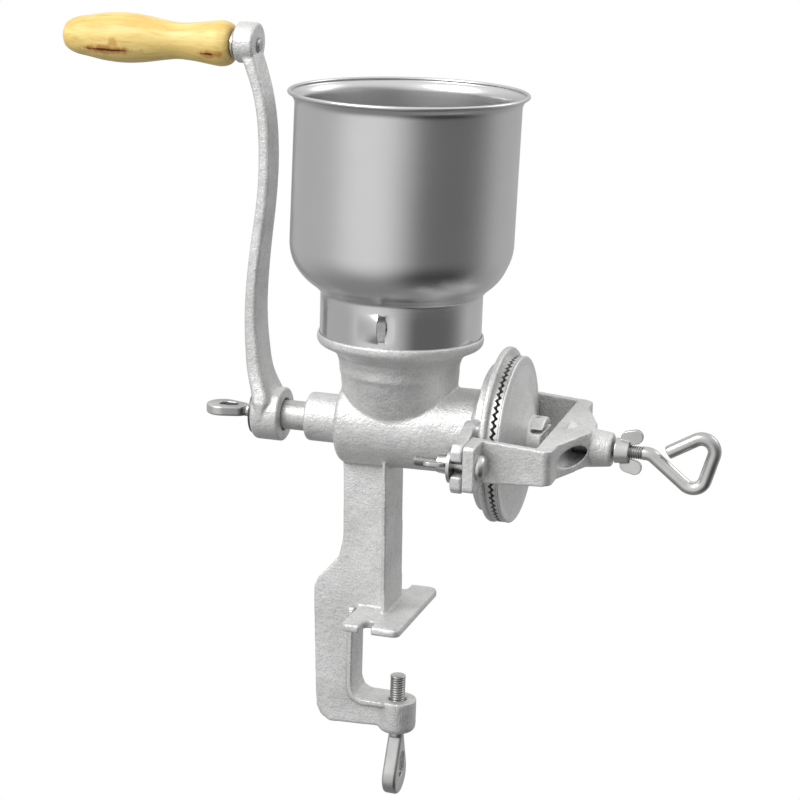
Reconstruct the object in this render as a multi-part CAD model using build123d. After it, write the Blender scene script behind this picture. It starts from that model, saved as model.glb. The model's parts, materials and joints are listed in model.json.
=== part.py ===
"""Table-clamp hand mill: every piece as its own solid, millimetres, +Z up.

Row frame: origin on the under face of the jaw plate, straight above the clamp
screw; +X runs along the worm shaft from the crank towards the adjusting screw;
+Z up; the mill's middle plane is Y = 0.
"""
import math
import os

from build123d import *

# ---- stations along X and heights ----
HOPPER_X = -5.6
AXIS_Z = 122.0
HEAD_TILT = 1.8

# ---- hopper (pressed steel sheet) ----
SHEET = 0.8
RIM_R = 71.4
RIM_ROLL = 1.3
RIM_Z = 326.5
BOWL_R = 68.1
BOWL_FOOT_Z = 237.3
BOWL_CORNER = 31.0
NECK_R = 49.6
NECK_FOOT_Z = 177.9
SLOT_X0 = HOPPER_X + 1.4
SLOT_X1 = HOPPER_X + 4.4
SLOT_Z0 = 186.0
SLOT_Z1 = 199.8

# ---- casting ----
COLLAR_R = 51.2
COLLAR_TOP = 182.2
SOCKET_R = 49.66
SOCKET_FLOOR = 177.6
THROAT_INNER_R = 32.6
THROAT_R = 36.8
BARREL_R = 26.4
BARREL_LIFT = 0.5
BARREL_LIFT_X1 = 1.8
BARREL_BORE = 21.5
BARREL_X0 = -40.6
BARREL_X1 = 48.0
BOSS_X0 = -63.1
BOSS_R = 15.3
BOSS_LIFT = 0.7
FLANGE_X = 53.4
RIM_X0 = 59.6
RIM_X1 = 63.6
HEAD_R = 53.8
HEAD_LIFT = 2.3
EAR_Y = 67.0
EAR_X0 = 49.2
EAR_X1 = 56.3
FORK_HALF = 4.2

# ---- leg and clamp ----
LEG_HALF = 18.5
WEB_HALF = 5.8
JAW_HALF = 44.5
JAW_X0 = -25.5
JAW_X1 = 12.2
JAW_THICK = 5.2
ARM_TOP = -56.8
ARM_FOOT = -75.0
CLAMP_HALF = 12.0
FOOT_R = 12.2
FOOT_Z0 = -78.2
CLAMP_R = 4.9

# ---- shaft, plates, rotor ----
SHAFT_R = 9.2
BORE_GAP = 0.05
CRANK_SEAT_R = 7.0
FRONT_R = 6.9
SHAFT_X0 = -96.0
SHAFT_X1 = 90.4
WORM_R = 20.4
WORM_X0 = -32.0
WORM_X1 = 57.0
WORM_CORE_R = 10.5
WORM_LEAD = 26.0
WORM_THICK = 3.6
PLATE_R = 51.0
PLATE_HOLE = 21.5
FIXED_X0 = 63.6
FIXED_X1 = 67.0
TURN_X0 = 67.8
TURN_X1 = 70.2
ROTOR_X1 = 71.8
TEETH = 72
TOOTH_DEPTH = 1.7
TOOTH_INNER_R = 27.0
RIVET_R = 2.0
RIVET_AT = 36.0
RIVET_GAP = 0.02
RIVET_SINK = 1.9
RIVET_TAIL = 2.4
DRIVE_PIN_X = 83.0
DRIVE_PIN_R = 2.0
HUB_R = 15.8
HUB_X1 = 88.9

# ---- yoke and adjusting screw ----
YOKE_EAR_X0 = 56.6
YOKE_EAR_X1 = 64.2
YOKE_OUT = 59.1
YOKE_WALL = 4.8
YOKE_WEB_X0 = 95.0
YOKE_WEB_X1 = 105.4
NOSE_X1 = 130.4
SCREW_R = 4.1
BALL_R = 3.7
BALL_X = 94.15
SCREW_X0 = 97.9
NUT_X0 = 131.9
NUT_X1 = 140.4
BOLT_R = 3.15
BOLT_Z = AXIS_Z + 1.2
BOLT_X0 = 25.8
BOLT_HEAD_R = 7.6
BOLT_HEAD = 4.9
WASHER_R = 10.8
WASHER_THICK = 1.9

# ---- crank ----
CRANK_HUB_X0 = -98.0
CRANK_HUB_X1 = -79.2
CRANK_HUB_R = 17.0
EYE_X0 = -114.0
EYE_X1 = -101.0
EYE_R = 12.5
EYE_Z = 351.8
PIN_Z = 350.4
PIN_R = 4.0
PIN_REACH = 86.0
CRANK_SEAT_X1 = -84.0
CRANK_SCREW_R = 4.0
GRIP_X0 = -228.6
GRIP_X1 = -117.4

# crank arm stations: height, X of the middle, thickness in X, width in Y
ARM_STATIONS = [
    (131.0, -91.0, 12.5, 33.0),
    (138.5, -92.8, 11.2, 30.0),
    (150.0, -96.6, 10.2, 25.0),
    (162.0, -98.4, 9.4, 24.0),
    (180.0, -99.8, 8.2, 24.0),
    (206.0, -99.4, 7.5, 23.8),
    (231.0, -97.2, 7.3, 22.4),
    (256.0, -94.4, 7.0, 21.0),
    (281.0, -93.3, 7.0, 20.8),
    (306.0, -94.7, 7.2, 20.2),
    (326.0, -98.6, 7.8, 20.0),
    (345.0, -105.0, 9.0, 19.6),
]

# V-shaped root of the arm on the hub, same columns
ROOT_STATIONS = [(120.5, -90.8, 1.6, 35.0), (131.0, -91.0, 9.4, 34.8), (144.0, -94.2, 9.4, 26.0)]

# grip outline: distance from the eye end, radius
GRIP_PROFILE = [
    (0.0, 10.4), (1.4, 12.3), (3.9, 13.4), (7.1, 13.9), (10.3, 13.7), (16.7, 12.8),
    (23.2, 11.9), (29.6, 11.3), (36.0, 11.1), (42.5, 11.9), (48.9, 12.9), (55.4, 14.0),
    (61.8, 14.8), (68.3, 15.3), (74.7, 15.3), (81.1, 14.9), (87.6, 14.1), (94.0, 12.9),
    (100.4, 11.9), (105.6, 10.4), (109.6, 7.9),
]


def save(shape, name):
    """Write one node, its solids kept apart."""
    shape.label = name
    export_step(shape, f"parts/{name}.step")
    print(name, len(shape.solids()), "solid(s)", round(shape.volume, 1), "mm3")


def group(shapes):
    """Separate solids that share one node."""
    return Compound([solid for shape in shapes for solid in shape.solids()])


def x_rod(r, x0, x1, y=0.0, z=AXIS_Z):
    """Solid rod along X."""
    return Pos((x0 + x1) / 2, y, z) * Rot(0, 90, 0) * Cylinder(r, x1 - x0)


def x_cone(r0, r1, x0, x1, z=AXIS_Z):
    """Solid cone along X, radius r0 at x0 and r1 at x1."""
    return Pos((x0 + x1) / 2, 0, z) * Rot(0, 90, 0) * Cone(r0, r1, x1 - x0)


def z_rod(r, z0, z1, x=0.0, y=0.0):
    """Solid rod along Z."""
    return Pos(x, y, (z0 + z1) / 2) * Cylinder(r, z1 - z0)


def block(x0, x1, y0, y1, z0, z1):
    """Box between two corners."""
    mid = Pos((x0 + x1) / 2, (y0 + y1) / 2, (z0 + z1) / 2)
    return mid * Box(x1 - x0, y1 - y0, z1 - z0)


def upright(points, half, y=0.0):
    """Closed outline in the XZ plane, thickened both ways along Y."""
    face = make_face(Polyline(*[(px, y, pz) for px, pz in points], close=True))
    return extrude(face, half, dir=(0, 1, 0), both=True)


def spun(points, x=HOPPER_X):
    """Outline of (radius, height) turned about the hopper's axis."""
    face = make_face(Polyline(*[(x + r, 0, z) for r, z in points], close=True))
    return revolve(face, Axis((x, 0, 0), (0, 0, 1)), 360)


def tilted(shape):
    """Lean the yoke and its ears about the shaft, as the slots allow."""
    return Pos(0, 0, AXIS_Z) * Rot(HEAD_TILT, 0, 0) * Pos(0, 0, -AXIS_Z) * shape


# ---------------------------------------------------------------- casting
def throat(r_top, half_x, half_y, z_top=159.0):
    """Funnel that narrows from the collar to inside the barrel's width."""
    top = Pos(HOPPER_X + 0.4, 0, z_top) * Circle(r_top)
    foot = Pos(HOPPER_X + 0.8, 0, AXIS_Z) * Ellipse(half_x, half_y)
    return loft([top, foot])


def collar_outside():
    rows = [(0, 157.0), (THROAT_R, 157.0), (THROAT_R + 0.4, 163.0), (38.9, 168.4)]
    rows += [(42.2, 171.4), (46.5, 173.6), (49.6, 175.0), (COLLAR_R, 177.2)]
    rows += [(COLLAR_R, 180.4), (50.5, COLLAR_TOP), (0, COLLAR_TOP)]
    return spun(rows)


def collar_inside():
    rows = [(0, 156.5), (THROAT_INNER_R, 156.5), (33.2, 163.0), (35.5, 168.5), (40.0, 173.0)]
    rows += [(44.6, 175.8), (45.6, SOCKET_FLOOR), (SOCKET_R, SOCKET_FLOOR)]
    rows += [(SOCKET_R, COLLAR_TOP + 1), (0, COLLAR_TOP + 1)]
    return spun(rows)


def head_outside():
    """Flared end of the barrel with the round seat of the fixed plate."""
    flare = x_cone(BARREL_R, 43.5, 47.4, FLANGE_X)
    back = x_rod(45.5, FLANGE_X, RIM_X0)
    rim = x_rod(HEAD_R, RIM_X0, RIM_X1, z=AXIS_Z + HEAD_LIFT)
    rim = chamfer(rim.edges().filter_by(GeomType.CIRCLE), 0.7)
    return flare + back + rim


def body_ear(side):
    """Forked ear, on a gusset behind the rim, that the yoke bolt drops into."""
    half = [(40.0, -14.5), (40.0, 21.5), (46.5, 21.5), (60.0, 15.5), (72.0, 15.5)]
    half += [(76.0, 12.0), (76.0, -11.0), (72.5, -14.5)]
    outline = make_face(Polyline(*[(side * y, AXIS_Z + z) for y, z in half], close=True))
    ear = extrude(Plane.YZ.offset(EAR_X0) * outline, EAR_X1 - EAR_X0)
    lo, hi = sorted((side * 34.0, side * 49.0))
    link = block(EAR_X1 - 3, RIM_X0 + 2, lo, hi, AXIS_Z - 12.5, AXIS_Z + 20.0)
    lo, hi = sorted((side * EAR_Y, side * 82.0))
    slot = block(EAR_X0 - 1, EAR_X1 + 1, lo, hi, BOLT_Z - FORK_HALF, BOLT_Z + FORK_HALF)
    slot += x_rod(FORK_HALF, EAR_X0 - 1, EAR_X1 + 1, y=side * EAR_Y, z=BOLT_Z)
    return tilted(ear + link - slot)


def leg():
    """T-section leg: a web in the middle plane and a flange on the +X side."""
    web = [(-39.6, 116.0), (-37.9, 86.0), (-36.8, 48.0), (-39.2, 36.0), (-45.6, 28.0)]
    web += [(-52.2, 20.6), (-54.8, 14.6), (-54.8, 6.0), (-52.4, -52.0), (-30.0, -52.0)]
    web += [(-28.0, -6.0), (-28.0, 3.0), (-9.0, 3.0), (-9.0, 112.0)]
    face = [(-9.6, 112.0), (-6.9, 112.0), (-4.4, 3.0), (-7.6, 3.0)]
    root = [(-9.5, -60.0), (9.5, -60.0), (9.5, 6.0), (WEB_HALF, 116.0), (-WEB_HALF, 116.0)]
    root += [(-9.5, 6.0)]
    wedge = extrude(Plane.YZ.offset(-60) * make_face(Polyline(*root, close=True)), 60)
    return (upright(web, 9.5) & wedge) + upright(face, LEG_HALF)


def jaw():
    """Plate that rests on the table, notched at both ends."""
    plate = block(JAW_X0, JAW_X1, -JAW_HALF, JAW_HALF, 0, JAW_THICK)
    plate = fillet(plate.edges().filter_by(Axis.Z), 5.0)
    plate = fillet(plate.faces().sort_by(Axis.Z)[-1].edges(), 2.0)
    for side in (-1, 1):
        lo, hi = sorted((side * 36.5, side * 60.0))
        plate -= block(-13.0, -5.6, lo, hi, -1, 20)
        plate -= z_rod(3.7, -1, 20, x=-9.3, y=side * 36.5)
    return plate


def clamp_frame():
    """C-shaped part below the jaw, with the boss for the clamp screw."""
    spine = [(-54.8, 8.0), (-52.1, -58.0), (-51.3, -66.0), (-48.6, -71.6), (-42.6, -75.4)]
    spine += [(-8.0, ARM_FOOT + 1.0), (-8.0, ARM_TOP), (-21.0, ARM_TOP), (-25.6, -54.6)]
    spine += [(-28.0, -49.0), (-28.6, 2.0), (-38.0, 8.0)]
    web = upright(spine, 9.5)
    inner = [(-30.7, 2.0), (-27.5, 2.0), (-27.3, -49.0), (-25.3, -54.4), (-20.3, ARM_TOP)]
    inner += [(-6.0, ARM_TOP), (-6.0, ARM_TOP - 3.2), (-22.0, ARM_TOP - 3.2)]
    inner += [(-28.4, -57.0), (-30.7, -50.6)]
    flange = upright(inner, CLAMP_HALF)
    foot = z_rod(FOOT_R, FOOT_Z0, ARM_TOP)
    foot = fillet(foot.edges().group_by(Axis.Z)[0], 4.0)
    return web + flange + foot


def mill_body():
    body = throat(THROAT_R, 34.6, 21.4) + collar_outside()
    ends = [Pos(BARREL_X0, 0, AXIS_Z + BARREL_LIFT) * Rot(0, 90, 0) * Circle(BARREL_R)]
    ends += [Pos(BARREL_X1, 0, AXIS_Z + BARREL_LIFT_X1) * Rot(0, 90, 0) * Circle(BARREL_R)]
    barrel = loft(ends)
    barrel = fillet(barrel.edges().group_by(Axis.X)[0], 5.0)
    boss = x_rod(BOSS_R, BOSS_X0, BARREL_X0 + 3, z=AXIS_Z + BOSS_LIFT)
    boss = fillet(boss.edges().group_by(Axis.X)[0], 1.6)
    body += barrel + boss + head_outside() + body_ear(-1) + body_ear(1)
    body += leg() + jaw() + clamp_frame()
    body -= collar_inside()
    body -= throat(THROAT_INNER_R, 29.5, 17.4)
    body -= x_rod(BARREL_BORE, BARREL_X0 + 5, RIM_X1 + 1)
    body -= x_rod(SHAFT_R + BORE_GAP, BOSS_X0 - 1, BARREL_X0 + 6)
    body -= z_rod(CLAMP_R + 0.1, FOOT_Z0 - 1, ARM_TOP + 1)
    body -= Pos(0, 0, ARM_TOP - 0.7) * Cone(CLAMP_R + 0.1, CLAMP_R + 1.6, 1.5)
    for side in (-1, 1):
        body -= x_rod(RIVET_R + RIVET_GAP, RIM_X1 - 6, RIM_X1 + 1, y=side * RIVET_AT)
    return body


# ---------------------------------------------------------------- hopper
def bowl_profile(offset):
    """(radius, height) down the bowl, moved inwards by offset."""
    rows = [(RIM_R - 0.6, RIM_Z - 0.4 + offset)]
    rows += [(RIM_R - 1.8 - offset * 0.6, RIM_Z - 1.8 + offset * 0.7)]
    rows += [(BOWL_R + 0.6 - offset, RIM_Z - 4.6), (BOWL_R - offset, RIM_Z - 9)]
    rows += [(BOWL_R - offset, BOWL_FOOT_Z)]
    centre = BOWL_R - BOWL_CORNER
    for step in range(1, 8):
        a = math.radians(step * 8.6)
        r = BOWL_CORNER - offset
        rows.append((centre + r * math.cos(a), BOWL_FOOT_Z - r * math.sin(a)))
    rows += [(NECK_R + 0.6 - offset, 208.0 - offset * 0.3), (NECK_R - offset, 204.0)]
    rows += [(NECK_R - offset, NECK_FOOT_Z)]
    return rows


def hopper():
    outside = bowl_profile(0.0)
    inside = bowl_profile(SHEET)
    shell = spun(outside + inside[::-1])
    roll = Pos(HOPPER_X, 0, RIM_Z) * Torus(RIM_R, RIM_ROLL)
    shell = shell + roll
    fin = block(SLOT_X0 - 1.1, SLOT_X1 + 1.1, -NECK_R - 2.3, -46.0, SLOT_Z0 - 1.4, SLOT_Z1 + 1.2)
    fin &= z_rod(NECK_R + SHEET, SLOT_Z0 - 5, SLOT_Z1 + 5, x=HOPPER_X)
    slot = block(SLOT_X0, SLOT_X1, -NECK_R - 10, -46.0, SLOT_Z0, SLOT_Z1)
    return shell + fin - slot


# ---------------------------------------------------------------- plates
def tooth_gap(x_face, into):
    """Tapered V cut between two teeth, on the +Y side of the shaft."""
    ends = []
    for r in (TOOTH_INNER_R, PLATE_R + 2):
        half = 0.46 * 2 * math.pi * r / TEETH
        deep = TOOTH_DEPTH * r / PLATE_R
        pts = [(x_face - into * 0.3, r, AXIS_Z - half), (x_face - into * 0.3, r, AXIS_Z + half)]
        pts += [(x_face + into * deep, r, AXIS_Z)]
        ends.append(make_face(Polyline(*pts, close=True)))
    return loft(ends)


def burr_plate(x0, x1, x_face, into, phase):
    """Ring with V teeth cut in one face."""
    ring = x_rod(PLATE_R, x0, x1) - x_rod(PLATE_HOLE, x0 - 1, x1 + 1)
    cut = tooth_gap(x_face, into)
    cuts = []
    for i in range(TEETH):
        turn = (i + phase) * 360 / TEETH
        spin = Pos(0, 0, AXIS_Z) * Rot(turn, 0, 0) * Pos(0, 0, -AXIS_Z)
        cuts.append(spin * cut)
    return ring.cut(*cuts)


def fixed_burr_plate():
    plate = burr_plate(FIXED_X0, FIXED_X1, FIXED_X1, -1, 0.0)
    for side in (-1, 1):
        plate -= x_rod(RIVET_R + RIVET_GAP, FIXED_X0 - 1, FIXED_X1 + 1, y=side * RIVET_AT)
    return plate


def rotating_burr_plate():
    plate = burr_plate(TURN_X0, TURN_X1, TURN_X0, 1, 0.5)
    for side in (-1, 1):
        spot = AXIS_Z + side * RIVET_AT
        plate -= x_rod(RIVET_R + RIVET_GAP, TURN_X0 - 1, TURN_X1 + 1, z=spot)
    return plate


def fixed_plate_rivets():
    head = FIXED_X1 - RIVET_SINK
    return group([x_rod(RIVET_R, RIM_X1 - 5, head, y=side * RIVET_AT) for side in (-1, 1)])


def rotor_plate_rivets():
    head = TURN_X0 + RIVET_SINK
    tail = TURN_X1 + RIVET_TAIL
    return group([x_rod(RIVET_R, head, tail, z=AXIS_Z + side * RIVET_AT) for side in (-1, 1)])


def rotor():
    """Dished plate holder with a slotted hub."""
    disc = x_rod(PLATE_R + 0.2, TURN_X1, ROTOR_X1)
    disc = chamfer(disc.edges().group_by(Axis.X)[-1], 0.6)
    rows = [(ROTOR_X1 - 0.5, 48.0), (ROTOR_X1 + 1.2, 40.0), (ROTOR_X1 + 3.0, 30.0)]
    rows += [(ROTOR_X1 + 5.4, 22.0), (ROTOR_X1 + 7.6, 17.0), (ROTOR_X1 + 8.4, 12.0)]
    rows += [(ROTOR_X1 + 8.4, 0.0), (ROTOR_X1 - 0.5, 0.0)]
    outline = make_face(Polyline(*[(x, 0, AXIS_Z + r) for x, r in rows], close=True))
    dome = revolve(outline, Axis((0, 0, AXIS_Z), (1, 0, 0)), 360)
    hub = x_rod(HUB_R, TURN_X1, HUB_X1)
    hub = fillet(hub.edges().group_by(Axis.X)[-1], 1.5)
    shape = disc + dome + hub - x_rod(FRONT_R, TURN_X1 - 1, HUB_X1 + 1)
    shape -= block(81.5, HUB_X1 + 1, -20, 20, AXIS_Z + 8.4, AXIS_Z + 10.2)
    for side in (-1, 1):
        hole_z = AXIS_Z + side * RIVET_AT
        shape -= x_rod(RIVET_R + RIVET_GAP, TURN_X1 - 1, TURN_X1 + RIVET_TAIL + 0.1, z=hole_z)
    shape -= z_rod(DRIVE_PIN_R, AXIS_Z - 30, AXIS_Z + 30, x=DRIVE_PIN_X)
    return shape


def drive_pin():
    """Cross pin that drives the rotor from the shaft."""
    return z_rod(DRIVE_PIN_R, AXIS_Z - 16.2, AXIS_Z + 8.0, x=DRIVE_PIN_X)


# ---------------------------------------------------------------- shaft
def auger():
    """Shaft with its worm, one casting."""
    shaft = x_rod(CRANK_SEAT_R, SHAFT_X0, CRANK_SEAT_X1)
    shaft += x_rod(SHAFT_R, CRANK_SEAT_X1, WORM_X0 + 2)
    shaft += x_cone(SHAFT_R, 13.0, WORM_X0, WORM_X0 + 6)
    shaft += x_rod(WORM_CORE_R, WORM_X0, WORM_X1)
    shaft += x_rod(FRONT_R, WORM_X1 - 1, SHAFT_X1)
    path = Helix(WORM_LEAD, WORM_X1 - WORM_X0 - 6, 15.5)
    across = Plane(origin=path @ 0, x_dir=(1, 0, 0), z_dir=path % 0)
    worm = sweep(across * Rectangle(13.0, WORM_THICK), path, is_frenet=True)
    worm = Pos(WORM_X0 + 3, 0, AXIS_Z) * Rot(0, 90, 0) * worm
    sleeve = x_rod(WORM_R, WORM_X0, WORM_X1) - x_rod(WORM_CORE_R, WORM_X0 - 1, WORM_X1 + 1)
    shaft += worm & sleeve
    shaft -= x_rod(CRANK_SCREW_R + BORE_GAP, SHAFT_X0 - 1, CRANK_SEAT_X1 + 6)
    shaft -= z_rod(DRIVE_PIN_R, AXIS_Z - 30, AXIS_Z + 30, x=DRIVE_PIN_X)
    return shaft


def thrust_ball():
    return Pos(BALL_X, 0, AXIS_Z) * Sphere(BALL_R)


# ---------------------------------------------------------------- yoke
def yoke_side(side):
    """One arm with its outward ear."""
    y_out = side * YOKE_OUT
    y_in = side * (YOKE_OUT - YOKE_WALL)
    low = AXIS_Z - 11.4
    end = YOKE_WEB_X1 - 4.2
    pts = [(YOKE_EAR_X0, low), (end, low + 2.4), (end, AXIS_Z + 12.6)]
    pts += [(YOKE_EAR_X0, AXIS_Z + 15.8)]
    arm = upright(pts, YOKE_WALL / 2, y=(y_out + y_in) / 2)
    lo, hi = sorted((side * (YOKE_OUT - 3), side * 76.0))
    ear = block(YOKE_EAR_X0, YOKE_EAR_X1, lo, hi, AXIS_Z - 13.0, AXIS_Z + 15.6)
    ear = fillet(ear.edges().filter_by(Axis.X), 3.0)
    return arm + ear


def nose():
    shape = x_cone(13.4, 10.2, YOKE_WEB_X1 - 1, NOSE_X1)
    shape = fillet(shape.edges().group_by(Axis.X)[-1], 1.8)
    return shape + x_cone(17.5, 12.8, YOKE_WEB_X1 - 2, YOKE_WEB_X1 + 3.5)


def yoke():
    web = block(YOKE_WEB_X0, YOKE_WEB_X1, -YOKE_OUT, YOKE_OUT, AXIS_Z - 8.8, AXIS_Z + 12.6)
    web = fillet(web.edges().filter_by(Axis.Z).group_by(Axis.X)[-1], 5.0)
    gusset = [(YOKE_WEB_X1 - 1, -46.0), (YOKE_WEB_X1 - 1, 46.0), (118.0, 10.0), (118.0, -10.0)]
    gusset = make_face(Polyline(*[(x, y, AXIS_Z - 8.8) for x, y in gusset], close=True))
    web += extrude(gusset, 21.4, dir=(0, 0, 1))
    shape = web + yoke_side(-1) + yoke_side(1) + nose()
    shape -= x_rod(SCREW_R + BORE_GAP, YOKE_WEB_X0 - 1, NOSE_X1 + 1)
    window = Pos(110.8, -25, AXIS_Z + 1.2) * Rot(90, 0, 0) * Cylinder(5.8, 50)
    shape -= window
    for side in (-1, 1):
        shape -= x_rod(BOLT_R, YOKE_EAR_X0 - 1, YOKE_EAR_X1 + 1, y=side * EAR_Y, z=BOLT_Z)
    return tilted(shape)


def yoke_bolt(side):
    """Round-headed bolt through the yoke ear and the body's fork."""
    shank = x_rod(BOLT_R, BOLT_X0, YOKE_EAR_X1 + 0.5, y=side * EAR_Y, z=BOLT_Z)
    head_x1 = YOKE_EAR_X1 + BOLT_HEAD
    head = x_rod(BOLT_HEAD_R, YOKE_EAR_X1, head_x1, y=side * EAR_Y, z=BOLT_Z)
    head = fillet(head.edges().group_by(Axis.X)[-1], 4.2)
    return tilted(shank + head)


def washer(side):
    ring = x_rod(WASHER_R, EAR_X0 - WASHER_THICK, EAR_X0, y=side * EAR_Y, z=BOLT_Z)
    hole = x_rod(BOLT_R + 0.02, EAR_X0 - 3, EAR_X0 + 1, y=side * EAR_Y, z=BOLT_Z)
    return tilted(ring - hole)


def wing_nut(hub_r, hub_length, bore, wing):
    """Nut along +X from the origin; wing is (x, distance out, length, width, thickness)."""
    x, out, length, width, thick = wing
    nut = x_cone(hub_r, hub_r * 0.86, 0, hub_length, z=0)
    for side in (-1, 1):
        blade = Rot(90, 0, 0) * extrude(SlotOverall(length, width), thick / 2, both=True)
        nut += Pos(x, 0, side * out) * Rot(0, side * -14, 0) * blade
    return nut - x_rod(bore, -1, x + length, z=0)


def yoke_nut(side):
    nut = wing_nut(6.2, 7.2, BOLT_R + BORE_GAP, (7.0, 8.2, 13.0, 8.0, 2.4))
    turned = Rot(78, 0, 0) * Rot(0, 180, 0) * nut
    return tilted(Pos(EAR_X0 - WASHER_THICK - 0.4, side * EAR_Y, BOLT_Z) * turned)


def adjusting_lock_nut():
    nut = wing_nut(7.8, NUT_X1 - NUT_X0, SCREW_R + BORE_GAP, (9.6, 8.9, 13.6, 8.8, 3.4))
    return Pos(NUT_X0, 0, AXIS_Z) * nut


def bent_rod(points, r, corner):
    """Round rod along a path of straight runs with rounded bends."""
    path = FilletPolyline(*points, radius=corner)
    ring = Plane(origin=path @ 0, z_dir=path % 0) * Circle(r)
    return sweep(ring, path)


def adjusting_screw():
    """Threaded rod whose outer end is bent into a triangular loop."""
    z = AXIS_Z
    pts = [(SCREW_X0, 0, z), (153.2, 0, z), (183.6, 0, z - 23.8), (196.1, 0, z + 21.0)]
    pts += [(163.6, 0, z + 2.0)]
    return bent_rod(pts, SCREW_R, 7.6)


# ---------------------------------------------------------------- crank
def arm_sections(stations):
    return [Pos(x, 0, z) * RectangleRounded(t, w, min(t, w) * 0.3) for z, x, t, w in stations]


def crank_arm():
    """Hub, bowed arm and the eye for the handle pin, one casting."""
    hub = x_rod(CRANK_HUB_R, CRANK_HUB_X0, CRANK_HUB_X1)
    hub = fillet(hub.edges().group_by(Axis.X)[0], 3.0)
    hub = fillet(hub.edges().group_by(Axis.X)[-1], 1.4)
    arm = loft(arm_sections(ARM_STATIONS)) + loft(arm_sections(ROOT_STATIONS), ruled=True)
    eye = x_rod(EYE_R, EYE_X0, EYE_X1, z=EYE_Z)
    eye = fillet(eye.edges().filter_by(GeomType.CIRCLE), 1.6)
    shape = hub + arm + eye
    shape -= x_rod(CRANK_SEAT_R, CRANK_HUB_X0 - 1, CRANK_SEAT_X1)
    shape -= x_rod(SHAFT_R + 1.0, CRANK_SEAT_X1, CRANK_HUB_X1 + 1)
    shape -= x_rod(PIN_R, EYE_X0 - 1, EYE_X1 + 1, z=PIN_Z)
    return shape


def crank_washer():
    ring = x_rod(14.0, CRANK_HUB_X0 - 1.5, CRANK_HUB_X0)
    return ring - x_rod(CRANK_SCREW_R + 0.1, CRANK_HUB_X0 - 3, CRANK_HUB_X0 + 1)


def flat_eye(length, width, thick, neck, hole):
    """Thumb ring in the XY plane reaching -X; neck is (x, radius), hole (shift, length, width)."""
    neck_x, neck_r = neck
    hole_shift, hole_length, hole_width = hole
    r = width / 2
    far = length - r
    big = Pos(-far, 0) * Circle(r)
    small = Pos(-neck_x, 0) * Circle(neck_r)
    ring = extrude(make_hull(big.edges() + small.edges()), thick / 2, both=True)
    ring = fillet(ring.edges().filter_by(Plane.XY), thick * 0.22)
    slot = Pos(hole_shift - far, 0) * SlotOverall(hole_length, hole_width)
    return ring - extrude(slot, thick, both=True)


def crank_thumb_screw():
    """Screw with a ring head that holds the crank on the shaft."""
    shank = x_rod(CRANK_SCREW_R, -107.0, CRANK_SEAT_X1 + 2)
    collar = x_rod(6.4, CRANK_HUB_X0 - 3.4, CRANK_HUB_X0 - 1.85)
    ring = flat_eye(27.2, 21.0, 6.4, (7.0, 7.6), (4.0, 12.5, 8.6))
    return shank + collar + Pos(-104.6, 0, AXIS_Z) * ring


def grip():
    """Turned wooden grip."""
    rows = [(GRIP_X1 - d, r) for d, r in GRIP_PROFILE]
    line = Spline(*[(x, 0, PIN_Z + r) for x, r in rows])
    tail = Polyline(line @ 1, (GRIP_X0, 0, PIN_Z + 5.0), (GRIP_X0, 0, PIN_Z),
                    (GRIP_X1, 0, PIN_Z), line @ 0)
    wood = revolve(make_face(line + tail), Axis((0, 0, PIN_Z), (1, 0, 0)), 360)
    bore = x_rod(PIN_R + BORE_GAP, GRIP_X1 - PIN_REACH - 2, GRIP_X1 + 1, z=PIN_Z)
    return wood - bore


def handle_pin():
    """Pin riveted in the eye; the grip turns on it."""
    pin = x_rod(PIN_R, GRIP_X1 - PIN_REACH, EYE_X1 + 0.6, z=PIN_Z)
    tip = x_cone(PIN_R, 3.0, EYE_X1 + 0.6, EYE_X1 + 1.6, z=PIN_Z)
    return pin + tip + x_rod(6.4, GRIP_X1 + 1.9, EYE_X0, z=PIN_Z)


def handle_washer():
    ring = x_rod(8.6, GRIP_X1 + 0.7, GRIP_X1 + 1.9, z=PIN_Z)
    return ring - x_rod(PIN_R + 0.02, GRIP_X1, GRIP_X1 + 5, z=PIN_Z)


# ---------------------------------------------------------------- clamp screw
def clamp_screw():
    """Screw with a teardrop ring handle, standing in the boss of the clamp."""
    rod = z_rod(CLAMP_R, -82.0, -41.0)
    rod = chamfer(rod.edges().group_by(Axis.Z)[-1], 0.4)
    ring = Rot(0, -88.7, 0) * flat_eye(41.0, 26.0, 9.4, (3.0, 3.8), (7.0, 17.0, 9.6))
    return rod + Pos(0, 0, -80.6) * ring


def main():
    os.makedirs("parts", exist_ok=True)
    nodes = {
        "mill_body": mill_body(),
        "hopper": hopper(),
        "fixed_burr_plate": fixed_burr_plate(),
        "fixed_plate_rivets": fixed_plate_rivets(),
        "auger": auger(),
        "rotor": rotor(),
        "rotating_burr_plate": rotating_burr_plate(),
        "rotor_plate_rivets": rotor_plate_rivets(),
        "drive_pin": drive_pin(),
        "thrust_ball": thrust_ball(),
        "yoke": yoke(),
        "yoke_bolts": group([yoke_bolt(-1), yoke_bolt(1)]),
        "yoke_washers": group([washer(-1), washer(1)]),
        "yoke_nut_near": yoke_nut(-1),
        "yoke_nut_far": yoke_nut(1),
        "adjusting_screw": adjusting_screw(),
        "adjusting_lock_nut": adjusting_lock_nut(),
        "crank_arm": crank_arm(),
        "crank_washer": crank_washer(),
        "crank_thumb_screw": crank_thumb_screw(),
        "grip": grip(),
        "handle_pin": handle_pin(),
        "handle_washer": handle_washer(),
        "clamp_screw": clamp_screw(),
    }
    for name, shape in nodes.items():
        save(shape, name)


if __name__ == "__main__":
    main()
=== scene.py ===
"""Looks of the table-clamp hand mill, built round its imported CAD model.

Row frame, metres: origin under the jaw plate, +X along the worm shaft from the
crank to the adjusting screw, +Z up.
"""

import json
import math

import bmesh
import bpy
from mathutils import Matrix, Vector


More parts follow.
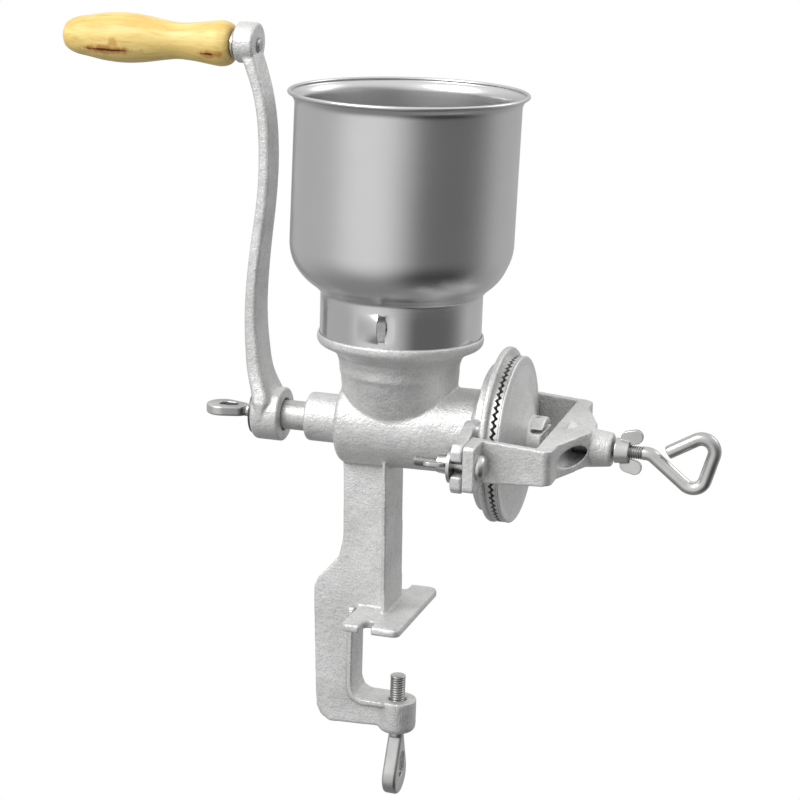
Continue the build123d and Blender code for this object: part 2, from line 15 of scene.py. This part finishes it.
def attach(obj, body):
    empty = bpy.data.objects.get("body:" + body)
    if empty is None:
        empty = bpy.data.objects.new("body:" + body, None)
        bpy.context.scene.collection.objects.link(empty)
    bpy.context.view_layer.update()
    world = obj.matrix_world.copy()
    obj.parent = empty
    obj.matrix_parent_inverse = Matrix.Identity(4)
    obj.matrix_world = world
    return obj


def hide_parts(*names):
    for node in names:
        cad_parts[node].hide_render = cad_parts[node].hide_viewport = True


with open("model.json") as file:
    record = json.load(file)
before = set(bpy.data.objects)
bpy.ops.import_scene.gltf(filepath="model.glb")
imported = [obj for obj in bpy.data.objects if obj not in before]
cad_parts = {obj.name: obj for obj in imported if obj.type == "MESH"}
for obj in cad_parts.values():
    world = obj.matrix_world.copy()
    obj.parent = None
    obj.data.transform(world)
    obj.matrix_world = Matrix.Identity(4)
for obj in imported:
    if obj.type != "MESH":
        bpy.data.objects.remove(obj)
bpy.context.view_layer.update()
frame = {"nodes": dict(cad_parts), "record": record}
NODES = frame["nodes"]
MM = 0.001
WEAR_SCALE = 160.0

# ---- camera (degrees, metres) ----
AZIMUTH = 16.66
ELEVATION = 14.23
ROLL = 1.83
LENS = 99.0
DISTANCE = 1.3572
TARGET = Vector((-0.0046, 0.0, 0.1389))


# ------------------------------------------------------------------ materials
def math_node(nodes, links, operation, a, b):
    """A maths node on two values or sockets."""
    node = nodes.new("ShaderNodeMath")
    node.operation = operation
    for socket, value in zip(node.inputs, (a, b)):
        if hasattr(value, "links"):
            links.new(value, socket)
        else:
            socket.default_value = value
    return node.outputs["Value"]


class Paint:
    """A node material under construction."""

    def __init__(self, name):
        self.mat = bpy.data.materials.new(name)
        self.mat.use_nodes = True
        self.nodes = self.mat.node_tree.nodes
        self.links = self.mat.node_tree.links
        self.bsdf = next(n for n in self.nodes if n.type == "BSDF_PRINCIPLED")
        coords = self.nodes.new("ShaderNodeTexCoord")
        self.place = coords.outputs["Object"]

    def set(self, **values):
        for name, value in values.items():
            self.bsdf.inputs[name.replace("_", " ")].default_value = value

    def link(self, out, name):
        self.links.new(out, self.bsdf.inputs[name])

    def stretched(self, scale, centre=(0, 0, 0)):
        node = self.nodes.new("ShaderNodeMapping")
        node.inputs["Scale"].default_value = scale
        node.inputs["Location"].default_value = [-c * s for c, s in zip(centre, scale)]
        self.links.new(self.place, node.inputs["Vector"])
        return node.outputs["Vector"]

    def noise(self, scale, detail=3.0, rough=0.5, place=None):
        node = self.nodes.new("ShaderNodeTexNoise")
        node.inputs["Scale"].default_value = scale
        node.inputs["Detail"].default_value = detail
        node.inputs["Roughness"].default_value = rough
        self.links.new(place or self.place, node.inputs["Vector"])
        return node.outputs["Fac"]

    def spot(self, centre, reach):
        """1 inside an ellipsoid, 0 outside it, with a soft rough edge."""
        node = self.nodes.new("ShaderNodeVectorMath")
        node.operation = "LENGTH"
        self.links.new(self.stretched([1.0 / r for r in reach], centre), node.inputs[0])
        edge = self.remap(self.noise(260.0, 2.0), 0.3, 0.7, -0.25, 0.25)
        return self.remap(self.math("ADD", node.outputs["Value"], edge), 0.55, 1.05, 1.0, 0.0)

    def remap(self, value, low, high, to_low, to_high):
        node = self.nodes.new("ShaderNodeMapRange")
        for name, number in zip(("From Min", "From Max", "To Min", "To Max"),
                                (low, high, to_low, to_high)):
            node.inputs[name].default_value = number
        self.links.new(value, node.inputs["Value"])
        return node.outputs["Result"]

    def ramp(self, value, stops):
        node = self.nodes.new("ShaderNodeValToRGB")
        ramp = node.color_ramp
        while len(ramp.elements) < len(stops):
            ramp.elements.new(0.5)
        for element, (at, colour) in zip(ramp.elements, stops):
            element.position = at
            element.color = (*colour, 1.0)
        self.links.new(value, node.inputs["Fac"])
        return node.outputs["Color"]

    def mix(self, factor, a, b, mode="MIX"):
        node = self.nodes.new("ShaderNodeMix")
        node.data_type = "RGBA"
        node.blend_type = mode
        for socket, value in ((node.inputs["Factor"], factor), (node.inputs["A"], a),
                              (node.inputs["B"], b)):
            if hasattr(value, "links"):
                self.links.new(value, socket)
            else:
                socket.default_value = value
        return node.outputs["Result"]

    def math(self, operation, a, b):
        return math_node(self.nodes, self.links, operation, a, b)

    def bump(self, height, strength, depth, after=None):
        node = self.nodes.new("ShaderNodeBump")
        node.inputs["Strength"].default_value = strength
        node.inputs["Distance"].default_value = depth
        self.links.new(height, node.inputs["Height"])
        if after:
            self.links.new(after, node.inputs["Normal"])
        return node.outputs["Normal"]


def cast_metal(name, light, dark, rough, grain, metal=0.75):
    """Tinned sand casting: grain, faint stains, and painted shade darkening the hollows."""
    p = Paint(name)
    sand = p.noise(900.0, 2.0, 0.6)
    lumps = p.noise(230.0, 3.0, 0.55)
    stain = p.noise(38.0, 4.0, 0.6)
    colour = p.ramp(stain, [(0.30, dark), (0.62, light)])
    pits = p.ramp(sand, [(0.30, (0.80,) * 3), (0.52, (1.0,) * 3)])
    colour = p.mix(1.0, colour, pits, "MULTIPLY")
    # painted shade: concave spots (low pointiness) get a darker base colour in place of the shade
    # that falls in hollows and corners
    geometry = p.nodes.new("ShaderNodeNewGeometry")
    painted_hollow_shade = p.ramp(geometry.outputs["Pointiness"], [(0.42, (0.62,) * 3), (0.50, (1.0,) * 3)])
    p.link(p.mix(1.0, colour, painted_hollow_shade, "MULTIPLY"), "Base Color")
    p.link(p.remap(lumps, 0.3, 0.7, rough - 0.07, rough + 0.08), "Roughness")
    first = p.bump(lumps, 0.55 * grain, 0.0008)
    p.link(p.bump(sand, 0.75 * grain, 0.00035, first), "Normal")
    p.set(Metallic=metal)
    return p.mat


def hopper_metal():
    """Satin stainless sheet with faint rings from spinning and a polished neck."""
    p = Paint("hopper_steel")
    rings = p.noise(1.0, 3.0, 0.6, p.stretched((6.0, 6.0, 1500.0)))
    cloud = p.noise(14.0, 3.0, 0.5)
    p.link(p.ramp(cloud, [(0.25, (0.62, 0.62, 0.625)), (0.75, (0.69, 0.69, 0.695))]), "Base Color")
    split = p.nodes.new("ShaderNodeSeparateXYZ")
    p.links.new(p.place, split.inputs["Vector"])
    satin = p.remap(split.outputs["Z"], 0.197, 0.206, 0.13, 0.30)
    p.link(p.math("ADD", satin, p.remap(rings, 0.3, 0.7, -0.02, 0.03)), "Roughness")
    p.link(p.bump(rings, 0.05, 0.0002), "Normal")
    p.set(Metallic=1.0)
    return p.mat


def plain_metal(name, light, dark, rough, bump=0.1):
    """Plated or turned steel with a little wear and tarnish."""
    p = Paint(name)
    wear = p.noise(WEAR_SCALE, 4.0, 0.6)
    tarnish = p.noise(WEAR_SCALE * 0.2, 3.0, 0.5)
    p.link(p.ramp(tarnish, [(0.3, dark), (0.65, light)]), "Base Color")
    p.link(p.remap(wear, 0.3, 0.7, rough - 0.05, rough + 0.07), "Roughness")
    p.link(p.bump(wear, bump, 0.0003), "Normal")
    p.set(Metallic=1.0)
    return p.mat


def grip_wood():
    """Lacquered pale wood, grain along the grip, two dark checks and a small knot."""
    p = Paint("grip_wood")
    fibre = p.noise(6.0, 5.0, 0.6, p.stretched((9.0, 90.0, 90.0)))
    streak = p.noise(1.5, 3.0, 0.5, p.stretched((8.0, 60.0, 60.0)))
    colour = p.ramp(fibre, [(0.28, (0.63, 0.43, 0.13)), (0.45, (0.75, 0.56, 0.19)),
                            (0.70, (0.82, 0.64, 0.25))])
    warm = p.ramp(streak, [(0.30, (0.86, 0.76, 0.62)), (0.50, (1.0, 1.0, 1.0))])
    colour = p.mix(1.0, colour, warm, "MULTIPLY")
    for centre, reach, tint in WOOD_MARKS:
        mark = p.spot([c * MM for c in centre], [r * MM for r in reach])
        colour = p.mix(mark, colour, (*tint, 1.0))
    p.link(colour, "Base Color")
    p.link(p.remap(fibre, 0.3, 0.7, 0.42, 0.34), "Roughness")
    p.link(p.bump(fibre, 0.06, 0.0004), "Normal")
    p.set(Coat_Weight=0.09, Coat_Roughness=0.20, Specular_IOR_Level=0.30)
    return p.mat


# centre and half sizes in mm, colour: two checks in the wood, the stain round them, a knot
WOOD_MARKS = [
    ((-196.0, -13.2, 343.6), (22.0, 5.0, 3.2), (0.50, 0.25, 0.07)),
    ((-128.0, -12.0, 344.4), (9.0, 5.0, 2.8), (0.50, 0.25, 0.07)),
    ((-196.5, -13.4, 343.6), (17.5, 4.0, 0.9), (0.09, 0.025, 0.008)),
    ((-129.5, -12.2, 344.6), (6.5, 4.0, 0.9), (0.12, 0.03, 0.01)),
    ((-190.6, -15.0, 348.6), (3.2, 3.0, 3.6), (0.58, 0.34, 0.10)),
]
CASTING = cast_metal("casting", (0.74, 0.74, 0.735), (0.60, 0.60, 0.595), 0.45, 1.25, 0.6)
ROTOR = cast_metal("rotor_iron", (0.78, 0.78, 0.775), (0.68, 0.68, 0.675), 0.46, 0.35)
PLATE = cast_metal("plate_iron", (0.68, 0.68, 0.67), (0.52, 0.52, 0.51), 0.42, 0.6)
STEEL = hopper_metal()
ZINC = plain_metal("zinc", (0.66, 0.66, 0.65), (0.42, 0.42, 0.42), 0.30)
THREAD = plain_metal("thread_zinc", (0.40, 0.40, 0.39), (0.22, 0.22, 0.22), 0.38)
BALL = plain_metal("ball_steel", (0.80, 0.80, 0.80), (0.70, 0.70, 0.70), 0.12, bump=0.02)
DARK = plain_metal("dark_steel", (0.16, 0.16, 0.155), (0.09, 0.09, 0.09), 0.4)
WOOD = grip_wood()
BY_SLOT = {"casting": CASTING, "hopper_steel": STEEL, "plate_iron": PLATE, "rotor_iron": ROTOR,
           "zinc": ZINC, "ball_steel": BALL, "dark_steel": DARK, "grip_wood": WOOD}
SLOT_OF = {s["node"]: s["material_slot"] for s in frame["record"]["subparts"]}
BODY_OF = {n: b for b, ns in frame["record"]["behaviour"]["bodies"].items() for n in ns}


def coat(obj, material):
    obj.data.materials.clear()
    obj.data.materials.append(material)


for name, obj in NODES.items():
    coat(obj, BY_SLOT[SLOT_OF[name]])


# ------------------------------------------------------------------ pieces
def new_piece(name, mesh, node, material=None):
    """Put a mesh in the scene in place of a CAD node."""
    obj = bpy.data.objects.new(name, mesh)
    bpy.context.scene.collection.objects.link(obj)
    coat(obj, material or BY_SLOT[SLOT_OF[node]])
    mesh.shade_smooth()
    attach(obj, BODY_OF[node])
    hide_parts(node)
    return obj


def worked(mesh, steps):
    """The mesh after a list of (modifier type, settings)."""
    obj = bpy.data.objects.new("work", mesh)
    bpy.context.scene.collection.objects.link(obj)
    for kind, settings in steps:
        modifier = obj.modifiers.new(kind, kind)
        for key, value in settings.items():
            setattr(modifier, key, value)
    graph = bpy.context.evaluated_depsgraph_get()
    made = bpy.data.meshes.new_from_object(obj.evaluated_get(graph))
    bpy.data.objects.remove(obj)
    return made


def rounded_casting(node, voxel, rounds):
    """A CAD node with the soft edges and filled corners of a sand casting."""
    mesh = worked(NODES[node].data.copy(), [
        ("REMESH", {"mode": "VOXEL", "voxel_size": voxel * MM, "use_smooth_shade": True}),
        ("SMOOTH", {"factor": 0.5, "iterations": rounds}),
    ])
    return new_piece(node + "_cast", mesh, node)


# ------------------------------------------------------------------ hopper
HOPPER_X = -5.6
RIM_R, RIM_Z, ROLL_R = 71.4, 326.5, 1.2
BOWL_R, BOWL_FOOT, CORNER = 68.1, 237.3, 31.0
NECK_R, NECK_FOOT, SHOULDER_Z = 49.6, 177.9, 206.0
SHEET = 0.8
SHOULDER_R = 3.2
SLIT_MARGIN = 0.05
LEAN_FROM, LEAN_BLEND = 311.0, 18.0
LEAN_X, LEAN_Y = 0.0176, 0.0165
SHIFT_X, SHIFT_Z = 0.3, 1.1
FLARE_R, FLARE_Z = 7.0, 319.2
FLAP_X, FLAP_Z, FLAP_HALF = 0.8, 193.4, 9.0
FLAP_REACH, FLAP_OUT, FLAP_OPEN = 14.0, 3.0, 4.2
DENT_REACH, DENT_IN = 7.0, 1.8


def arc(x, z, r, start, end, steps):
    """Points on an arc, degrees from +radius towards +Z."""
    turns = [math.radians(start + (end - start) * i / steps) for i in range(steps + 1)]
    return [(x + r * math.cos(t), z + r * math.sin(t)) for t in turns]


def steps_between(a, b, count):
    return [(a[0] + (b[0] - a[0]) * i / count, a[1] + (b[1] - a[1]) * i / count)
            for i in range(1, count)]


def hopper_side(inset):
    """One face of the sheet from the neck's foot to the rolled lip."""
    neck_r = NECK_R - inset
    foot = [(neck_r, NECK_FOOT)]
    shoulder = arc(neck_r + SHOULDER_R, SHOULDER_Z, SHOULDER_R, 180.0, 118.0, 6)
    bottom = arc(BOWL_R - CORNER, BOWL_FOOT, CORNER - inset, -58.0, 0.0, 22)
    flare = arc(BOWL_R + FLARE_R, FLARE_Z, FLARE_R + inset, 180.0, 131.0 - 5.0 * inset, 9)
    rows = foot + steps_between(foot[0], shoulder[0], 30) + shoulder
    rows += steps_between(shoulder[-1], bottom[0], 3) + bottom
    return rows + steps_between(bottom[-1], flare[0], 8) + flare


def flap(u, z):
    """How far the sheet stands out by the slit; u runs round from the slit, mm."""
    fade = max(0.0, 1.0 - ((z - FLAP_Z) / FLAP_HALF) ** 2)
    if -FLAP_REACH < u <= 0.001:
        return FLAP_OUT * fade * (1.0 + u / FLAP_REACH) ** 1.5
    past = u - FLAP_OPEN
    if -0.001 <= past < DENT_REACH:
        return -DENT_IN * fade * (1.0 - past / DENT_REACH) ** 2
    return 0.0


def bowl_lean(y, z):
    """Shift in X and Z: the bowl sits about a degree off the neck, both ways."""
    share = min(1.0, max(0.0, (z - SHOULDER_Z) / LEAN_BLEND))
    return share * (SHIFT_X + (z - LEAN_FROM) * LEAN_X), share * (SHIFT_Z + y * LEAN_Y)


def hopper_mesh():
    slit = math.degrees(math.asin(FLAP_X / NECK_R))
    fine = [slit - 20.0 + 0.25 * i for i in range(129)]
    coarse = [fine[-1] + (360.0 - 32.0) * i / 220 for i in range(1, 220)]
    turns = fine + coarse
    lip = arc(RIM_R, RIM_Z, ROLL_R, -118.0, 196.0, 16)
    rows = hopper_side(0.0) + lip + hopper_side(SHEET)[::-1]
    bm = bmesh.new()
    grid = []
    for r, z in rows:
        ring = []
        for turn in turns:
            a = math.radians(turn)
            u = math.radians(turn - slit) * NECK_R
            out = r + (flap(u, z) if z < SHOULDER_Z else 0.0)
            x, y = HOPPER_X + out * math.sin(a), -out * math.cos(a)
            aside, raised = bowl_lean(y, z)
            ring.append(bm.verts.new(((x + aside) * MM, y * MM, (z + raised) * MM)))
        grid.append(ring)
    count = len(turns)
    for low_row, high_row, (r, z) in zip(grid, grid[1:] + grid[:1], rows):
        for i in range(count):
            k = (i + 1) % count
            u = math.radians(turns[i] - slit) * NECK_R
            in_slit = -0.01 < u < FLAP_OPEN - SLIT_MARGIN and abs(z - FLAP_Z) < FLAP_HALF * 0.92
            if z < SHOULDER_Z and in_slit:
                continue
            bm.faces.new((low_row[i], low_row[k], high_row[k], high_row[i]))
    bmesh.ops.recalc_face_normals(bm, faces=bm.faces)
    mesh = bpy.data.meshes.new("hopper_sheet")
    bm.to_mesh(mesh)
    return mesh


# ------------------------------------------------------------------ threads
def thread_mesh(name, r, depth, pitch, start, end, place):
    """Screw thread between two stations; place turns (axial, across, up) into a point."""
    sides, per_turn = 36, 6
    rows = int((end - start) / pitch * per_turn)
    verts, faces = [], []
    for i in range(rows + 1):
        along = start + (end - start) * i / rows
        for k in range(sides):
            phase = along / pitch - k / sides
            radius = r - depth * (0.5 - 0.5 * math.cos(2 * math.pi * phase))
            a = 2 * math.pi * k / sides
            point = place(along, radius * math.cos(a), radius * math.sin(a))
            verts.append([c * MM for c in point])
    for i in range(rows):
        for k in range(sides):
            n = (k + 1) % sides
            faces.append((i * sides + k, i * sides + n, (i + 1) * sides + n, (i + 1) * sides + k))
    mesh = bpy.data.meshes.new(name)
    mesh.from_pydata(verts, [], faces)
    return mesh


def thin_core(obj, start, end, r, depth, maps):
    """Shrink a rod below the root of the thread that covers it."""
    place, unplace = maps
    share = (r - depth - 0.1) / r
    for vert in obj.data.vertices:
        along, across, up = unplace([c / MM for c in vert.co])
        if start < along < end and 0.01 < math.hypot(across, up) < r * 1.25:
            vert.co = Vector(place(along, across * share, up * share)) * MM


def on_x(y, z):
    """Maps for a rod along X through (y, z): (along, across, up) to a point and back."""
    return (lambda along, across, up: (along, y + across, z + up),
            lambda point: (point[0], point[1] - y, point[2] - z))


def on_z():
    """The same for a rod along Z through the origin."""
    return (lambda along, across, up: (across, up, along),
            lambda point: (point[2], point[0], point[1]))


def add_thread(obj, node, name, r, depth, pitch, start, end, maps):
    thin_core(obj, start - 0.2, end, r, depth, maps)
    new_piece(name, thread_mesh(name, r, depth, pitch, start, end, maps[0]), node, THREAD)


# ------------------------------------------------------------------ build
AXIS_Z = 122.0
TILT = math.radians(1.8)
BOLT_Y, BOLT_UP = 67.0, 1.2
# radius, depth, pitch, start, end in mm
CLAMP_THREAD = (4.9, 0.75, 1.6, -79.0, -42.2)
BOLT_THREAD = (3.15, 0.5, 1.2, 26.4, 47.0)
ADJUSTING_THREAD = (4.1, 0.6, 1.41, 99.0, 148.5)

rounded_casting("mill_body", 0.8, 9)
rounded_casting("yoke", 0.65, 9)
rounded_casting("crank_arm", 0.6, 8)
rounded_casting("rotor", 0.5, 4)
rounded_casting("adjusting_lock_nut", 0.33, 8)
rounded_casting("yoke_nut_near", 0.33, 6)
rounded_casting("yoke_nut_far", 0.33, 6)
rounded_casting("crank_thumb_screw", 0.35, 9)
clamp = rounded_casting("clamp_screw", 0.35, 8)
add_thread(clamp, "clamp_screw", "clamp_thread", *CLAMP_THREAD, on_z())
bolts = rounded_casting("yoke_bolts", 0.3, 4)
for name, side in (("near", -1), ("far", 1)):
    y = side * BOLT_Y * math.cos(TILT) - BOLT_UP * math.sin(TILT)
    z = AXIS_Z + side * BOLT_Y * math.sin(TILT) + BOLT_UP * math.cos(TILT)
    add_thread(bolts, "yoke_bolts", f"bolt_thread_{name}", *BOLT_THREAD, on_x(y, z))
screw = rounded_casting("adjusting_screw", 0.4, 5)
add_thread(screw, "adjusting_screw", "adjusting_thread", *ADJUSTING_THREAD,
           on_x(0.0, AXIS_Z))
new_piece("hopper_sheet", hopper_mesh(), "hopper")


# ------------------------------------------------------------------ stage
def look_from():
    a, e, r = (math.radians(v) for v in (AZIMUTH, ELEVATION, ROLL))
    ahead = Vector((-math.sin(a) * math.cos(e), math.cos(a) * math.cos(e), -math.sin(e)))
    right = Vector((math.cos(a), math.sin(a), 0.0))
    above = right.cross(ahead)
    right_r = right * math.cos(r) + above * math.sin(r)
    above_r = above * math.cos(r) - right * math.sin(r)
    turn = Matrix((right_r, above_r, -ahead)).transposed()
    return turn, TARGET - ahead * DISTANCE


def make_camera():
    data = bpy.data.cameras.new("camera")
    data.lens = LENS
    data.sensor_width = 36.0
    data.clip_start = 0.05
    data.clip_end = 50.0
    camera = bpy.data.objects.new("camera", data)
    bpy.context.scene.collection.objects.link(camera)
    turn, spot = look_from()
    camera.matrix_world = Matrix.Translation(spot) @ turn.to_4x4()
    bpy.context.scene.camera = camera


def area_light(name, azimuth, elevation, distance, size, power):
    """Soft light aimed at the mill from a direction round it."""
    data = bpy.data.lights.new(name, "AREA")
    data.energy = power
    data.size = size
    light = bpy.data.objects.new(name, data)
    bpy.context.scene.collection.objects.link(light)
    a, e = math.radians(azimuth), math.radians(elevation)
    away = Vector((math.sin(a) * math.cos(e), -math.cos(a) * math.cos(e), math.sin(e)))
    light.location = TARGET + away * distance
    light.rotation_euler = (-away).to_track_quat("-Z", "Y").to_euler()


def make_world():
    """White to the eye; for light and reflections a soft studio with one dim side."""
    world = bpy.data.worlds.new("studio")
    world.use_nodes = True
    bpy.context.scene.world = world
    nodes, links = world.node_tree.nodes, world.node_tree.links
    nodes.clear()
    out = nodes.new("ShaderNodeOutputWorld")
    coords = nodes.new("ShaderNodeTexCoord")

    def facing(azimuth, elevation, low, high):
        a, e = math.radians(azimuth), math.radians(elevation)
        dot = nodes.new("ShaderNodeVectorMath")
        dot.operation = "DOT_PRODUCT"
        links.new(coords.outputs["Generated"], dot.inputs[0])
        dot.inputs[1].default_value = (math.sin(a) * math.cos(e),
                                       -math.cos(a) * math.cos(e), math.sin(e))
        lobe = nodes.new("ShaderNodeMapRange")
        lobe.interpolation_type = "SMOOTHSTEP"
        lobe.inputs["From Min"].default_value = low
        lobe.inputs["From Max"].default_value = high
        links.new(dot.outputs["Value"], lobe.inputs["Value"])
        return lobe.outputs["Result"]

    def arith(operation, a, b):
        return math_node(nodes, links, operation, a, b)

    sky = arith("MULTIPLY", facing(0.0, 90.0, -0.10, 0.75), 0.52)
    bright = arith("MULTIPLY", facing(-14.0, -8.0, 0.62, 0.99), 0.42)
    dim = arith("MULTIPLY", facing(60.0, -16.0, 0.40, 0.97), -0.50)
    ground = arith("MULTIPLY", facing(0.0, -90.0, 0.30, 0.85), -0.34)
    total = 0.70
    for part in (sky, bright, dim, ground):
        total = arith("ADD", total, part)
    total = arith("MAXIMUM", total, 0.04)
    studio = nodes.new("ShaderNodeBackground")
    links.new(total, studio.inputs["Strength"])
    white = nodes.new("ShaderNodeBackground")
    white.inputs["Color"].default_value = (1.0, 1.0, 1.0, 1.0)
    path = nodes.new("ShaderNodeLightPath")
    mix = nodes.new("ShaderNodeMixShader")
    links.new(path.outputs["Is Camera Ray"], mix.inputs["Fac"])
    links.new(studio.outputs["Background"], mix.inputs[1])
    links.new(white.outputs["Background"], mix.inputs[2])
    links.new(mix.outputs["Shader"], out.inputs["Surface"])


make_camera()
make_world()
area_light("key", -38.0, 42.0, 1.6, 0.8, 16.0)
area_light("side", 125.0, 35.0, 1.8, 0.8, 4.0)
bpy.context.scene.view_settings.view_transform = "Standard"
